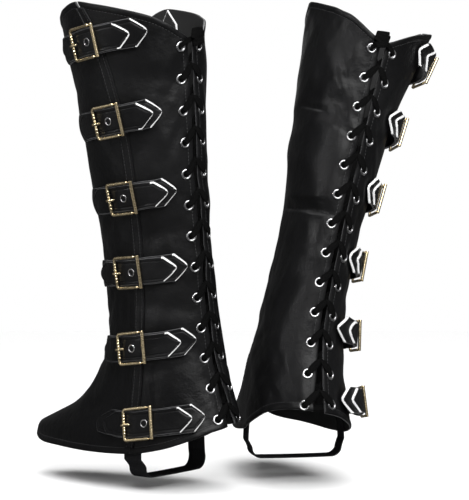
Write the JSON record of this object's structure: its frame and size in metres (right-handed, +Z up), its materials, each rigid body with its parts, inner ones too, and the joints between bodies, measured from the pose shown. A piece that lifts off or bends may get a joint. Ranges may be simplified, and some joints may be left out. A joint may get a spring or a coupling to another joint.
{
  "type": "pair of boot covers",
  "caption": "Pair of tall black leather-look boot covers, worn, laced up the back, with a row of buckled straps down the outer side and a stirrup under the arch.",
  "frame": {"origin": "midway between the wearer's two ankles, 130 mm above the ground the wearer stands on", "axes": "+Z up along the wearer's legs, +X to the wearer's right side, +Y the way the wearer's right toe points, so -Y is the laced back of the right cover"},
  "size_m": [0.4047, 0.2998, 0.4525],
  "materials": {
    "leather": "satin, smooth faux leather",
    "lace": "matt flat woven lace",
    "elastic": "matt woven elastic",
    "brass": "polished pale gold plating"
  },
  "bodies": {
    "root": {"left_buckle_1": "brass", "left_buckle_2": "brass", "left_buckle_3": "brass", "left_buckle_4": "brass", "left_buckle_5": "brass", "left_buckle_6": "brass", "left_front_panel": "leather", "left_lace": "lace", "left_outer_panel": "leather", "left_placket": "leather", "left_stirrup": "elastic", "left_tongue_1": "leather", "left_tongue_2": "leather", "left_tongue_3": "leather", "left_tongue_4": "leather", "left_tongue_5": "leather", "left_tongue_6": "leather", "left_under_strap_1": "leather", "left_under_strap_2": "leather", "left_under_strap_3": "leather", "left_under_strap_4": "leather", "left_under_strap_5": "leather", "left_under_strap_6": "leather", "right_buckle_1": "brass", "right_buckle_2": "brass", "right_buckle_3": "brass", "right_buckle_4": "brass", "right_buckle_5": "brass", "right_buckle_6": "brass", "right_front_panel": "leather", "right_lace": "lace", "right_outer_panel": "leather", "right_placket": "leather", "right_stirrup": "elastic", "right_tongue_1": "leather", "right_tongue_2": "leather", "right_tongue_3": "leather", "right_tongue_4": "leather", "right_tongue_5": "leather", "right_tongue_6": "leather", "right_under_strap_1": "leather", "right_under_strap_2": "leather", "right_under_strap_3": "leather", "right_under_strap_4": "leather", "right_under_strap_5": "leather", "right_under_strap_6": "leather"}
  },
  "joints": []
}
